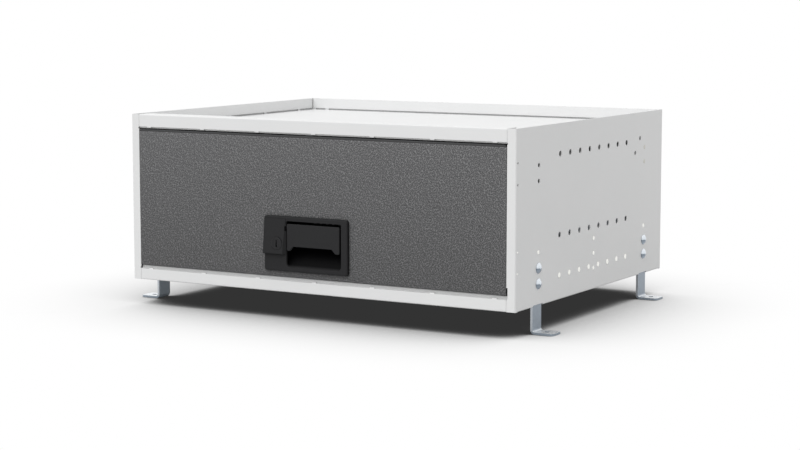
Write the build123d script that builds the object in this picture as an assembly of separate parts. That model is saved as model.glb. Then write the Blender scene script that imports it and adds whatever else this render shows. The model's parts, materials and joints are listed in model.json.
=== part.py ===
from build123d import *
import math
import os

# Van drawer unit: a folded steel case on four feet with one full-extension drawer.
# Frame: origin on the floor below the middle of the case, +X right, +Y back, +Z up, in millimetres.

# Case
body_width = 591.2
body_depth = 460.0
body_height = 228.0
floor_gap = 35.0
sheet = 1.5
bend_inner = 0.6
rail_bend_inner = 0.1
stile_width = 12.6
seam = 0.2
lay_gap = 0.1
overrun = 2.0
corner_relief = 6.0
relief_radius = 1.2
stile_notch_depth = 1.6
stile_notch_length = 14.0
case_flange_width = 12.0

# Top tray and bottom panel, folded along slotted lines
tray_recess = 17.2
front_return = 25.0
bridge_width = 6.5
front_bridges = 7
side_bridges = 5
front_bridge_share = 0.15
rear_bridges = 2
rear_bridge_share = 0.9
side_bridge_share = 0.202
front_slot_reach = 2.2
front_slot_rise = 1.2
tray_slot_rise = 1.8
side_slot_reach = 3.0
side_slot_rise = 2.1
bottom_rise = 16.2
lip_setback = 3.5
lip_rise = 3.4

# Holes in the case sides
row_holes = 8
row_pitch = 30.0
row_hole_radius = 3.8
row_heights = (31.7, 84.3, 188.8)
column_hole_radius = 3.0
column_pitch = 20.0
column_low = 28.5
column_high = 158.7
column_high_holes = 2
column_holes = 3
column_offset_share = 0.362
spare_holes = ((151.0, 192.0), (135.0, 172.6))
pilot_radius = 1.5
pilot_inset = 4.8
pilot_heights = (47.8, 74.6, 158.2, 185.4)
rear_row_holes = 4
rear_row_pitch = 110.0
rear_row_heights = (60.0, 180.0)

# Feet
foot_width = 25.0
foot_thick = 3.0
foot_bend = 3.0
foot_reach = 28.5
foot_hole_out = 14.5
foot_hole_radius = 3.5
foot_leg_top = 60.0
foot_corner = 4.0
foot_room = 1.0
foot_bolts_each = 2
bolt_radius = 2.9
bolt_hole_radius = 3.1
bolt_head_radius = 6.9
bolt_head_height = 4.0
bolt_head_round = 3.0
bolt_tail = 1.5
nut_radius = 5.7
nut_height = 5.0
washer_radius = 6.2
washer_height = 1.2
thread_clearance = 0.05

# Rivets of the rear corners
rivet_head_radius = 3.4
rivet_head_height = 1.3
rivet_head_round = 1.0
rivet_radius = 1.6
rivet_hole_radius = 1.65
rivet_tail_radius = 2.4
rivet_tail_height = 1.2
rivets_each_side = 3
rivet_end_inset = 30.0

# Slide brackets
bracket_low = 22.0
bracket_shelf = 80.0
bracket_top = 126.0
bracket_step = 9.0
bracket_end = 8.0

# Ball slides, each as a depth from the bracket and a height from the slide's middle
slide_middle_height = 102.5
slide_length = 420.0
slide_front_gap = 1.0
slide_thick = 12.7
slide_sheet = 1.2
slide_bend = 0.5
outer_half = 22.5
outer_lip_depth = 10.5
outer_lip_drop = 1.4
middle_half = 17.9
middle_face = 3.5
middle_lip_depth = 10.8
inner_half = 13.1
inner_lip_depth = 6.4
slide_setback = 6.0
outer_ball_radius = 1.4
inner_ball_radius = 1.5
cage_thick = 0.9
cage_width = 4.4
cage_length = 170.0
cage_balls = 2
cage_end = 12.0
outer_ball_depth = 6.6
inner_ball_depth = 8.4
outer_cage_start = 210.0
inner_cage_start = 60.0
slide_screws_each = 3
slide_screw_radius = 1.9
slide_screw_hole = 2.0
slide_screw_head = 3.6
slide_screw_head_height = 1.2
slide_screw_inset = 30.0
slide_screw_tail = 2.5
inner_screw_tail = 2.0
bumper_half = 8.0
bumper_length = 4.5

# Drawer tub
fascia_depth = 28.0
tub_low = 24.0
tub_top_drop = 6.2
tub_rear_gap = 7.0
tub_wall = 3.5
tub_corner = 22.0
tub_floor_round = 10.0
rim_out = 7.2
rim_thick = 3.0
rim_drop = 6.0
rim_front_corner = 4.0
divider_slots = 5
divider_pitch = 62.0
divider_gap = 4.0
divider_rib = 2.0
divider_rib_depth = 2.6
divider_clear = 14.0
tub_screw_radius = 1.7
tub_screw_hole = 1.8
tub_screw_head = 4.0
tub_screw_head_height = 2.4
tub_screw_round = 1.4
tub_screw_reach = 12.0
tub_screw_columns_share = (-0.4, -0.16, 0.16, 0.4)
tub_screw_low = 45.0
tub_screw_drop = 20.0

# Drawer front
fascia_side_gap = 0.5
fascia_low = 20.4
fascia_clearance = 1.1
fascia_plate = 5.0
fascia_wall = 3.2
fascia_top_round = 2.4
fascia_edge_round = 0.6
fascia_side_round = 1.2
fascia_corner = 5.0
frame_low = 24.4
frame_top_inset = 10.2
boss_radius = 5.0
boss_hole = 1.75
fascia_ribs_share = (-0.31, -0.2, 0.2, 0.31)
fascia_rib = 2.4
fascia_rib_depth = 14.0

# Latch
latch_left = -74.8
latch_right = 54.2
latch_low = 28.5
latch_top = 101.0
latch_proud = 4.5
latch_corner = 3.0
latch_edge_round = 1.6
latch_flange = 5.0
latch_fit = 0.3
pocket_left = -39.9
pocket_right = 45.0
pocket_low = 34.0
pocket_top = 95.4
pocket_low_round = 6.5
pocket_top_round = 2.0
pocket_wall = 2.0
pocket_back_gap = 9.0
pocket_scoop_height = 26.0
pocket_scoop_round = 14.0
pocket_lip_round = 6.0
pocket_ceiling_round = 4.0
ceiling_ribs = 5
ceiling_rib_left = 3.0
ceiling_rib_pitch = 9.3
ceiling_rib_width = 3.0
ceiling_rib_drop = 0.9
ceiling_rib_setback = 1.0
ceiling_rib_depth = 3.2
pin_entry_width = 2.2
pin_entry_depth = 5.5
pin_entry_below = 2.0
pin_entry_above = 4.3
latch_screw_heights = (45.0, 85.0)
latch_screw_radius = 1.25
latch_screw_hole = 1.3
latch_screw_head = 2.3
latch_screw_head_height = 1.6
latch_screw_depth = 3.0

# Paddle and its pin
paddle_left = -39.4
paddle_right = 42.0
paddle_low = 55.8
paddle_top = 91.5
paddle_thick = 4.0
paddle_setback = 0.3
paddle_corner = 2.0
paddle_edge_round = 0.8
notch_left = -29.5
notch_right = 30.0
notch_rise = 5.9
notch_slant = 5.5
pivot_height = 84.0
pivot_depth = 8.0
hub_radius = 4.2
hub_web = 3.0
hub_fit = 0.05
pin_radius = 1.5
pin_reach = 3.5
spring_left = 16.0
spring_right = 34.0
spring_turns = 7
spring_inner = 2.0
spring_wire = 1.3
spring_leg = 11.0
spring_room = 1.0
arm_left = -24.0
arm_width = 6.0
arm_half = 2.0
arm_length = 21.0
arm_fit = 0.5
arm_slot_drop = 10.5
arm_slot_rise = 3.2

# Latch rod and its guides
rod_width = 13.0
rod_thick = 3.0
rod_front_gap = 2.5
rod_low = 79.6
rod_clearance = 0.7
rod_nose_slope = 4.0
rod_window_low = 0.4
rod_window_high = 1.6
rod_window_side = 0.6
guide_width = 24.0
guide_height = 10.0
guide_above_latch = 27.0
guide_below_top = 30.2
guide_back_gap = 1.2
guide_fit = 0.4
keeper_length = 44.0
keeper_width = 16.0
keeper_thick = 1.5
keeper_flush = 0.2
keeper_room = 1.0
keeper_rivet_out = 16.0
keeper_corner = 3.0

# Lock
lock_x = -52.7
lock_z = 65.0
lock_plate_low = 51.0
lock_plate_top = 98.0
lock_plate_rise = 5.0
lock_plate_side = 1.0
lock_plate_edge = 0.5
lock_plate_slant = 3.2
lock_plate_thin = 0.6
lock_ring_radius = 8.5
lock_ring_proud = 1.0
lock_ring_depth = 1.4
lock_barrel_radius = 7.0
lock_plug_radius = 5.5
lock_fit = 0.05
key_slot_height = 9.2
key_slot_width = 2.0
key_slot_depth = 8.0
key_slot_round = 0.9
lock_tail = 1.5
cam_thick = 2.0
cam_width = 10.0
cam_length = 34.0
cam_screw_head = 3.2
cam_screw_height = 1.5
cam_screw_shank = 1.5
cam_boss_radius = 3.5

# Places worked out from the sizes above
half_width = body_width / 2
front = -body_depth / 2
back = body_depth / 2
body_low = floor_gap
body_top = floor_gap + body_height
inner_face = half_width - sheet
stile_edge = half_width - stile_width
tray_surface = body_top - tray_recess
tray_under = body_height - tray_recess - sheet
fascia_top = tray_under - fascia_clearance
guide_heights = (latch_top + guide_above_latch, fascia_top - guide_below_top)
tub_top = fascia_top - tub_top_drop
tub_screw_high = tub_top - tub_screw_drop
frame_top = fascia_top - frame_top_inset
rod_top = tray_under - keeper_thick - rod_clearance
floor_surface = body_low + bottom_rise
rear_line = back - 2 * sheet
column_offset = column_offset_share * body_depth
bracket_inner = inner_face - bracket_step
slide_middle = body_low + slide_middle_height
tub_half = bracket_inner - slide_thick
tub_front = front + fascia_depth
tub_back = back - 2 * sheet - tub_rear_gap
slide_front = tub_front + slide_front_gap
slide_back = slide_front + slide_length
latch_front = front - latch_proud
pocket_back = tub_front - pocket_back_gap
latch_box_back = pocket_back
pivot_y = latch_front + pivot_depth
pivot_z = body_low + pivot_height
rod_front = pocket_back + rod_front_gap
rod_x = arm_left + arm_width / 2
foot_columns = (-column_offset, column_offset)


def spot(along, a, b, station):
    # A point from two section coordinates and a station along the named axis.
    if along == "x":
        return (station, a, b)
    if along == "y":
        return (a, station, b)
    return (a, b, station)


def prism(points, radii, along, start, end):
    # A closed outline with rounded corners, drawn out along one axis.
    corners = [spot(along, a, b, start) for a, b in points]
    face = Face(Wire.make_polygon([Vector(*corner) for corner in corners], close=True))
    for corner, radius in zip(corners, radii):
        if radius > 0:
            vertex = face.vertices().sort_by_distance(Vector(*corner))[0]
            face = face.fillet_2d(radius, [vertex])
    return Solid.extrude(face, Vector(*spot(along, 0, 0, end - start)))


def ribbon(points, thick, inner, along, start, end):
    # A bent strip of sheet: its centre line is given, its bends get concentric radii.
    left = []
    right = []
    left_radii = []
    right_radii = []
    last = len(points) - 1
    for index, point in enumerate(points):
        before = points[max(index - 1, 0)]
        after = points[min(index + 1, last)]
        if index == 0:
            before = (2 * point[0] - after[0], 2 * point[1] - after[1])
        if index == last:
            after = (2 * point[0] - before[0], 2 * point[1] - before[1])
        one = math.atan2(point[1] - before[1], point[0] - before[0])
        two = math.atan2(after[1] - point[1], after[0] - point[0])
        turn = math.remainder(two - one, 2 * math.pi)
        middle = one + turn / 2 + math.pi / 2
        reach = thick / 2 / math.cos(turn / 2)
        left.append((point[0] + reach * math.cos(middle), point[1] + reach * math.sin(middle)))
        right.append((point[0] - reach * math.cos(middle), point[1] - reach * math.sin(middle)))
        bent = 0 < index < last
        inside = inner if bent else 0
        outside = inner + thick if bent else 0
        left_radii.append(inside if turn > 0 else outside)
        right_radii.append(outside if turn > 0 else inside)
    outline = left + right[::-1]
    return prism(outline, left_radii + right_radii[::-1], along, start, end)


def block(xs, ys, zs):
    # A box between three pairs of limits.
    middle = Pos((xs[0] + xs[1]) / 2, (ys[0] + ys[1]) / 2, (zs[0] + zs[1]) / 2)
    return middle * Box(xs[1] - xs[0], ys[1] - ys[0], zs[1] - zs[0])


def slab(a_range, b_range, radius, along, start, end):
    # A rectangle with four equal corners, drawn out along one axis.
    points = [(a, b) for a, b in (
        (a_range[0], b_range[0]),
        (a_range[1], b_range[0]),
        (a_range[1], b_range[1]),
        (a_range[0], b_range[1]),
    )]
    return prism(points, [radius] * 4, along, start, end)


def rod(radius, along, a, b, start, end):
    # A round bar along one axis.
    turns = {"x": (0, 90, 0), "y": (90, 0, 0), "z": (0, 0, 0)}
    centre = spot(along, a, b, (start + end) / 2)
    return Location(centre, turns[along]) * Cylinder(radius, abs(end - start))


def button(radius, taper, along, a, b, base, tip):
    # A small head that narrows from base to tip.
    turns = {"x": (0, 90, 0), "y": (-90, 0, 0), "z": (0, 0, 0)}
    wide, narrow = (radius, radius - taper) if tip > base else (radius - taper, radius)
    centre = spot(along, a, b, (base + tip) / 2)
    return Location(centre, turns[along]) * Cone(wide, narrow, abs(tip - base))


def domed_head(radius, height, cap):
    # A turned head with a spherical cap, standing on zero round the Z axis.
    ball = (radius ** 2 + cap ** 2) / (2 * cap)
    half = math.asin(radius / ball) / 2
    foot = Vector(0, 0, 0)
    tip = Vector(0, 0, height)
    shoulder = Vector(radius, 0, height - cap)
    middle = Vector(ball * math.sin(half), 0, height - ball + ball * math.cos(half))
    edges = [
        Edge.make_line(foot, Vector(radius, 0, 0)),
        Edge.make_line(Vector(radius, 0, 0), shoulder),
        Edge.make_three_point_arc(shoulder, middle, tip),
        Edge.make_line(tip, foot),
    ]
    return revolve(Face(Wire(edges)), Axis.Z).solids()[0]


def joined(parts):
    # One solid from parts that overlap.
    return parts[0].fuse(*parts[1:])


def cut(body, tools):
    # A body less a list of tools.
    return body.cut(*tools)


def group(parts):
    # Separate solids that share one node.
    solids = []
    for part in parts:
        solids.extend(part.solids())
    return Compound(children=[Solid(solid.wrapped) for solid in solids])


def flipped(part):
    # The other hand of a part.
    return mirror(part, Plane.YZ)


def spread(count, pitch):
    # Evenly pitched places about zero.
    return [(index - (count - 1) / 2) * pitch for index in range(count)]


def gaps(count, pitch, width, low, high):
    # The stretches between bridges, from low to high.
    edges = [low]
    for place in spread(count, pitch):
        edges.append(place - width / 2)
        edges.append(place + width / 2)
    edges.append(high)
    pairs = zip(edges[0::2], edges[1::2])
    return [pair for pair in pairs if pair[1] - pair[0] > sheet]


# Case sides

def side_hole_tools():
    # Punched rows and columns of a case side.
    through = (inner_face - overrun, half_width + overrun)
    tools = []
    for height in row_heights:
        for place in spread(row_holes, row_pitch):
            tools.append(rod(row_hole_radius, "x", place, body_low + height, *through))
    for place in (-column_offset, 0, column_offset):
        for step in range(column_holes):
            height = body_low + column_low + step * column_pitch
            tools.append(rod(column_hole_radius, "x", place, height, *through))
    for place in foot_columns:
        for step in range(column_high_holes):
            height = body_low + column_high + step * column_pitch
            tools.append(rod(column_hole_radius, "x", place, height, *through))
    for place, height in spare_holes:
        tools.append(rod(column_hole_radius, "x", place, body_low + height, *through))
    for height in pilot_heights:
        tools.append(rod(pilot_radius, "x", front + pilot_inset, body_low + height, *through))
    for place in foot_columns:
        for step in range(foot_bolts_each):
            height = body_low + column_low + step * column_pitch
            tools.append(rod(bolt_hole_radius, "x", place, height, *through))
    return tools


def stile_tools(notched):
    # Relief dots in the edge of the front stile, and the notch of the lock side.
    through = (front - overrun, front + sheet + overrun)
    tools = []
    for height in (tray_surface - sheet, floor_surface):
        tools.append(rod(relief_radius, "y", stile_edge, height, *through))
    if notched:
        notch_top = floor_surface + stile_notch_length
        edge = (stile_edge - overrun, stile_edge + stile_notch_depth)
        tools.append(block(edge, through, (floor_surface, notch_top)))
    return tools


def rivet_heights():
    # Heights of the rear rivets.
    low = body_low + rivet_end_inset
    pitch = (body_height - 2 * rivet_end_inset) / (rivets_each_side - 1)
    return [low + index * pitch for index in range(rivets_each_side)]


def rivet_x():
    # The middle of the rear flange of a case side.
    return half_width - case_flange_width / 2


def side_panel(notched):
    # A case side: front stile, web, rear flange and a notched bottom flange.
    line = [
        (stile_edge, front + sheet / 2),
        (half_width - sheet / 2, front + sheet / 2),
        (half_width - sheet / 2, back - sheet / 2),
        (half_width - case_flange_width, back - sheet / 2),
    ]
    shell = ribbon(line, sheet, bend_inner, "z", body_low, body_top)
    fold = body_low + sheet + bend_inner
    flange_y = (front + corner_relief, back - corner_relief)
    lower = block((stile_edge - overrun, half_width + overrun), flange_y, (body_low - overrun, fold))
    flange_line = [
        (half_width - case_flange_width, body_low + sheet / 2),
        (half_width - sheet / 2, body_low + sheet / 2),
        (half_width - sheet / 2, fold + bend_inner),
    ]
    flange = ribbon(flange_line, sheet, bend_inner, "y", *flange_y)
    panel = joined([cut(shell, [lower]), flange])
    tools = side_hole_tools() + stile_tools(notched)
    for place in foot_columns:
        gap = foot_width / 2 + foot_room
        xs = (stile_edge - overrun, half_width + overrun)
        zs = (body_low - overrun, fold + lay_gap)
        tools.append(block(xs, (place - gap, place + gap), zs))
    for height in rivet_heights():
        ys = (back - sheet - overrun, back + overrun)
        tools.append(rod(rivet_hole_radius, "y", rivet_x(), height, *ys))
    return cut(panel, tools)


# Top tray and bottom panel

def folded_pan(rim_front, rim_side, rim_rear, deep):
    # A tray in its own frame: its surface is at zero and its four flanges rise from it.
    centre = inner_face - sheet / 2
    floor_line = -sheet / 2
    pan_back = rear_line - sheet - bend_inner
    sides = [(-centre, rim_side), (-centre, floor_line), (centre, floor_line), (centre, rim_side)]
    start = front + sheet + bend_inner + seam
    parts = [ribbon(sides, sheet, bend_inner, "y", start, pan_back)]
    join = 2 * front_return
    rail = [
        (front + front_return, rim_front - sheet / 2),
        (front + sheet / 2, rim_front - sheet / 2),
        (front + sheet / 2, floor_line),
        (front + join, floor_line),
    ]
    parts.append(ribbon(rail, sheet, rail_bend_inner, "x", -stile_edge + seam, stile_edge - seam))
    rear = [
        (rear_line - join, floor_line),
        (rear_line - sheet / 2, floor_line),
        (rear_line - sheet / 2, rim_rear),
    ]
    rear_half = inner_face - sheet - seam
    parts.append(ribbon(rear, sheet, bend_inner, "x", -rear_half, rear_half))
    return cut(joined(parts), fold_slots(deep))


def fold_slots(deep):
    # The slots of the front, side and rear fold lines.
    rise = side_slot_rise if deep else sheet
    front_rise = tray_slot_rise if deep else front_slot_rise
    low = -sheet - overrun
    tools = []
    pitch = front_bridge_share * body_width
    front_ys = (front - overrun, front + front_slot_reach)
    skin_ys = (front + sheet, front + front_slot_reach)
    for xs in gaps(front_bridges, pitch, bridge_width, -stile_edge, stile_edge):
        tools.append(block(xs, front_ys, (low, front_rise - sheet)))
        tools.append(block(xs, skin_ys, (low, overrun)))
    rear_ys = (rear_line - side_slot_reach, rear_line + overrun)
    rear_end = inner_face - sheet - corner_relief
    rear_pitch = rear_bridge_share * body_width
    for xs in gaps(rear_bridges, rear_pitch, bridge_width, -rear_end, rear_end):
        tools.append(block(xs, rear_ys, (low, overrun)))
    side_pitch = side_bridge_share * body_depth
    side_end = -front - corner_relief
    for ys in gaps(side_bridges, side_pitch, bridge_width, -side_end, side_end - sheet):
        for side in (-1, 1):
            one = side * (inner_face - side_slot_reach)
            two = side * (inner_face + overrun)
            xs = (min(one, two), max(one, two))
            tools.append(block(xs, ys, (low, rise)))
    return tools


def keeper_slot(low, high):
    # The slot that the latch rod enters.
    half = rod_width / 2 + keeper_room
    ys = (rod_front - keeper_room, rod_front + rod_thick + keeper_room)
    return block((rod_x - half, rod_x + half), ys, (low, high))


def keeper_rivet_places():
    # The two rivets of the keeper.
    middle = rod_front + rod_thick / 2
    return [(rod_x + side * keeper_rivet_out, middle) for side in (-1, 1)]


def top_tray():
    # The recessed top with its front rail.
    pan = folded_pan(tray_recess, tray_recess, tray_recess, True)
    pan = Pos(0, 0, tray_surface) * pan
    through = (tray_surface - sheet - overrun, tray_surface + overrun)
    tools = [keeper_slot(*through)]
    for place in keeper_rivet_places():
        tools.append(rod(rivet_hole_radius, "z", *place, *through))
    return cut(pan, tools)


def bottom_panel():
    # The floor of the case, the tray turned over, notched round the legs of the feet.
    rim = bottom_rise - sheet
    pan = folded_pan(rim, rim - sheet - bend_inner - lay_gap, rim, False)
    pan = Pos(0, 0, body_low + rim) * mirror(pan, Plane.XY)
    lip_ys = (front + lip_setback, front + lip_setback + sheet)
    lip_zs = (floor_surface - sheet, floor_surface + lip_rise)
    pan = joined([pan, block((-stile_edge, stile_edge), lip_ys, lip_zs)])
    tools = []
    for place in foot_columns:
        gap = foot_width / 2 + foot_room
        for side in (-1, 1):
            one = side * (inner_face - foot_thick - foot_room)
            two = side * half_width
            xs = (min(one, two), max(one, two))
            zs = (body_low - overrun, floor_surface + overrun)
            tools.append(block(xs, (place - gap, place + gap), zs))
    return cut(pan, tools)


def rear_panel():
    # The flat back of the case with punched rows.
    ys = (rear_line, back - sheet)
    zs = (body_low + sheet + lay_gap, body_top)
    half = inner_face - bend_inner - lay_gap
    panel = block((-half, half), ys, zs)
    through = (ys[0] - overrun, ys[1] + overrun)
    tools = []
    for height in rear_row_heights:
        for place in spread(rear_row_holes, rear_row_pitch):
            tools.append(rod(row_hole_radius, "y", place, body_low + height, *through))
    for height in rivet_heights():
        for side in (-1, 1):
            tools.append(rod(rivet_hole_radius, "y", side * rivet_x(), height, *through))
    return cut(panel, tools)


def keeper():
    # The plate that takes the nose of the latch rod, under the tray.
    middle = rod_front + rod_thick / 2
    xs = (rod_x - keeper_length / 2, rod_x + keeper_length / 2)
    ys = (middle - keeper_width / 2, middle + keeper_width / 2)
    zs = (tray_surface - sheet - keeper_thick, tray_surface - sheet)
    plate = slab(xs, ys, keeper_corner, "z", *zs)
    through = (zs[0] - overrun, zs[1] + overrun)
    tools = [keeper_slot(*through)]
    for place in keeper_rivet_places():
        tools.append(rod(rivet_hole_radius, "z", *place, *through))
    return cut(plate, tools)


def one_rivet(along, a, b, grip, tip):
    # A rivet through a grip, its domed head on the tip side.
    out = 1 if tip > 0 else -1
    head_side = grip[1] if tip > 0 else grip[0]
    tail_side = grip[0] if tip > 0 else grip[1]
    head_end = head_side + out * rivet_head_height
    head = button(rivet_head_radius, rivet_head_round, along, a, b, head_side, head_end)
    tail_end = tail_side - out * rivet_tail_height
    tail = rod(rivet_tail_radius, along, a, b, tail_side, tail_end)
    shank = rod(rivet_radius, along, a, b, tail_end, head_end - out * rivet_head_round)
    return joined([head, shank, tail])


def panel_rivets():
    # Rivets of the rear corners and of the keeper.
    parts = []
    for height in rivet_heights():
        for side in (-1, 1):
            parts.append(one_rivet("y", side * rivet_x(), height, (rear_line, back), 1))
    return group(parts)


def keeper_rivets():
    # Rivets of the keeper, flush with the tray and headed below.
    parts = []
    low = tray_surface - sheet - keeper_thick
    tip = low - rivet_head_height
    for x, y in keeper_rivet_places():
        head = button(rivet_head_radius, rivet_head_round, "z", x, y, low, tip)
        shank = rod(rivet_radius, "z", x, y, tip + rivet_head_round, tray_surface - keeper_flush)
        parts.append(joined([head, shank]))
    return group(parts)


# Feet

def foot(place):
    # One right foot: an upright leg inside the case side and a plate turned outward.
    leg = inner_face - foot_thick / 2
    line = [
        (leg, body_low + foot_leg_top),
        (leg, foot_thick / 2),
        (inner_face + foot_reach, foot_thick / 2),
    ]
    ys = (place - foot_width / 2, place + foot_width / 2)
    body = ribbon(line, foot_thick, foot_bend, "y", *ys)
    ends = body.edges().filter_by(Axis.Z).group_by(Axis.X)[-1]
    body = fillet(ends, foot_corner)
    tools = [rod(foot_hole_radius, "z", inner_face + foot_hole_out, place, -overrun, foot_thick + overrun)]
    through = (inner_face - foot_thick - overrun, inner_face + overrun)
    for height in foot_bolt_heights():
        tools.append(rod(bolt_hole_radius, "x", place, height, *through))
    return cut(body, tools)


def foot_bolt_heights():
    # Heights of the two bolts of a foot.
    return [body_low + column_low + step * column_pitch for step in range(foot_bolts_each)]


def foot_bolt_set():
    # Domed bolts of the right feet.
    parts = []
    nut_end = inner_face - foot_thick - washer_height - nut_height
    for place in foot_columns:
        for height in foot_bolt_heights():
            tip = half_width + bolt_head_height
            spec = ("x", place, height)
            turn = Location((half_width, place, height), (0, 90, 0))
            head = turn * domed_head(bolt_head_radius, bolt_head_height, bolt_head_round)
            shank = rod(bolt_radius, *spec, nut_end - bolt_tail, tip - bolt_head_round)
            parts.append(joined([head, shank]))
    return parts


def foot_nut_set():
    # Washers and nuts of the right feet.
    parts = []
    face = inner_face - foot_thick
    for place in foot_columns:
        for height in foot_bolt_heights():
            washer = rod(washer_radius, "x", place, height, face - washer_height, face)
            hexagon = extrude(RegularPolygon(nut_radius, 6), amount=nut_height)
            turn = Location((face - washer_height, place, height), (0, -90, 0))
            bore = rod(bolt_radius + thread_clearance, "x", place, height, face - 2 * nut_height, face + overrun)
            parts.append(cut(washer, [bore]))
            parts.append(cut(turn * hexagon, [bore]))
    return parts


# Slides and their brackets

def depth_x(depth):
    # The right-hand place at a depth inward from the bracket.
    return bracket_inner - depth


def outer_screw_places():
    # Where the fixed member is screwed to its bracket.
    span = slide_length - 2 * slide_screw_inset
    first = slide_front + slide_screw_inset
    return [first + span * index / (slide_screws_each - 1) for index in range(slide_screws_each)]


def slide_bracket():
    # A Z-shaped bracket between the case side and the slide, notched round the legs.
    line = [
        (inner_face - sheet / 2, body_low + bracket_low),
        (inner_face - sheet / 2, body_low + bracket_shelf - sheet / 2),
        (bracket_inner + sheet / 2, body_low + bracket_shelf - sheet / 2),
        (bracket_inner + sheet / 2, body_low + bracket_top),
    ]
    ys = (front + bracket_end, back - bracket_end)
    body = ribbon(line, sheet, bend_inner, "y", *ys)
    tools = []
    for place in foot_columns:
        gap = foot_width / 2 + foot_room
        xs = (inner_face - foot_thick - foot_room, half_width)
        zs = (body_low, body_low + foot_leg_top + foot_room)
        tools.append(block(xs, (place - gap, place + gap), zs))
    through = (bracket_inner - overrun, bracket_inner + sheet + overrun)
    for place in outer_screw_places():
        tools.append(rod(slide_screw_hole, "x", place, slide_middle, *through))
    return cut(body, tools)


def slide_outer():
    # The fixed member: a channel with lips that hold the ball races.
    edge = outer_half - slide_sheet / 2
    web = depth_x(slide_sheet / 2)
    lip = depth_x(outer_lip_depth - slide_sheet / 2)
    lip_end = outer_half - slide_sheet - outer_lip_drop
    line = [
        (lip, slide_middle + lip_end),
        (lip, slide_middle + edge),
        (web, slide_middle + edge),
        (web, slide_middle - edge),
        (lip, slide_middle - edge),
        (lip, slide_middle - lip_end),
    ]
    body = ribbon(line, slide_sheet, slide_bend, "y", slide_front, slide_back)
    through = (depth_x(slide_sheet + overrun), depth_x(-overrun))
    tools = []
    for place in outer_screw_places():
        tools.append(rod(slide_screw_hole, "x", place, slide_middle, *through))
    return cut(body, tools)


def slide_channel(half, web_depth, lip_depth):
    # A moving member: a plain channel.
    edge = half - slide_sheet / 2
    line = [
        (depth_x(lip_depth), slide_middle + edge),
        (depth_x(web_depth), slide_middle + edge),
        (depth_x(web_depth), slide_middle - edge),
        (depth_x(lip_depth), slide_middle - edge),
    ]
    return ribbon(line, slide_sheet, slide_bend, "y", slide_front, slide_back - slide_setback)


def slide_middle_member():
    # The intermediate member, with windows that reach the screws of the fixed one.
    body = slide_channel(middle_half, middle_face + slide_sheet / 2, middle_lip_depth)
    through = (depth_x(middle_face + slide_sheet + overrun), depth_x(middle_face - overrun))
    tools = []
    for place in outer_screw_places():
        tools.append(rod(slide_screw_head + slide_sheet, "x", place, slide_middle, *through))
    return cut(body, tools)


def inner_screw_places():
    # Where the drawer member is screwed to the tub.
    low = tub_front + slide_screw_inset
    high = tub_back - 2 * slide_screw_inset
    return [low + (high - low) * index / (slide_screws_each - 1) for index in range(slide_screws_each)]


def slide_inner_member():
    # The drawer member.
    body = slide_channel(inner_half, slide_thick - slide_sheet / 2, inner_lip_depth)
    through = (depth_x(slide_thick + overrun), depth_x(slide_thick - slide_sheet - overrun))
    tools = []
    for place in inner_screw_places():
        tools.append(rod(slide_screw_hole, "x", place, slide_middle, *through))
    return cut(body, tools)


def bearing_ball(radius):
    # A ball turned in flat bands, light enough to be repeated.
    band = cage_thick * 2 / 3
    waist = math.sqrt(radius ** 2 - band ** 2)
    points = [(0, -radius), (waist, -band), (waist, band), (0, radius)]
    outline = Face(Wire.make_polygon([Vector(x, 0, z) for x, z in points], close=True))
    return revolve(outline, Axis.Z).solids()[0]


def ball_cage(height, depth, start, radius):
    # Two cage strips with their bearing balls, above and below the slide's middle.
    parts = []
    pitch = (cage_length - 2 * cage_end) / (cage_balls - 1)
    for side in (-1, 1):
        level = slide_middle + side * height
        xs = (depth_x(depth + cage_width / 2), depth_x(depth - cage_width / 2))
        zs = (level - cage_thick / 2, level + cage_thick / 2)
        strip = block(xs, (start, start + cage_length), zs)
        places = [start + cage_end + index * pitch for index in range(cage_balls)]
        balls = [Pos(depth_x(depth), place, level) * bearing_ball(radius) for place in places]
        parts.append(joined([strip] + balls))
    return parts


def outer_cage():
    # Cage between the fixed and the intermediate member.
    height = (outer_half - slide_sheet + middle_half) / 2
    return group(ball_cage(height, outer_ball_depth, front + outer_cage_start, outer_ball_radius))


def inner_cage():
    # Cage between the intermediate and the drawer member.
    height = (middle_half - slide_sheet + inner_half) / 2
    return group(ball_cage(height, inner_ball_depth, front + inner_cage_start, inner_ball_radius))


def outer_screw_set():
    # Screws that hold the right fixed member to its bracket.
    parts = []
    face = depth_x(slide_sheet)
    head_end = face - slide_screw_head_height
    for place in outer_screw_places():
        spec = ("x", place, slide_middle)
        head = button(slide_screw_head, slide_sheet / 2, *spec, face, head_end)
        shank = rod(slide_screw_radius, *spec, head_end + slide_sheet / 2, bracket_inner + sheet + slide_screw_tail)
        parts.append(joined([head, shank]))
    return parts


def inner_screw_set():
    # Screws that hold the right drawer member to the tub.
    parts = []
    face = tub_half - tub_wall
    head_end = face - slide_screw_head_height
    for place in inner_screw_places():
        spec = ("x", place, slide_middle)
        head = button(slide_screw_head, slide_sheet / 2, *spec, face, head_end)
        shank_end = tub_half + slide_sheet + inner_screw_tail
        shank = rod(slide_screw_radius, *spec, head_end + slide_sheet / 2, shank_end)
        parts.append(joined([head, shank]))
    return parts


def slide_bumper():
    # The rubber stop at the back of the fixed member.
    xs = (depth_x(slide_thick - slide_sheet), depth_x(slide_sheet))
    ys = (slide_back - bumper_length, slide_back)
    zs = (slide_middle - bumper_half, slide_middle + bumper_half)
    return block(xs, ys, zs)


# Drawer tub

def tub_screw_places():
    # Where the tub is screwed to the drawer front.
    return [
        (share * body_width, body_low + height)
        for share in tub_screw_columns_share
        for height in (tub_screw_low, tub_screw_high)
    ]


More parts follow.
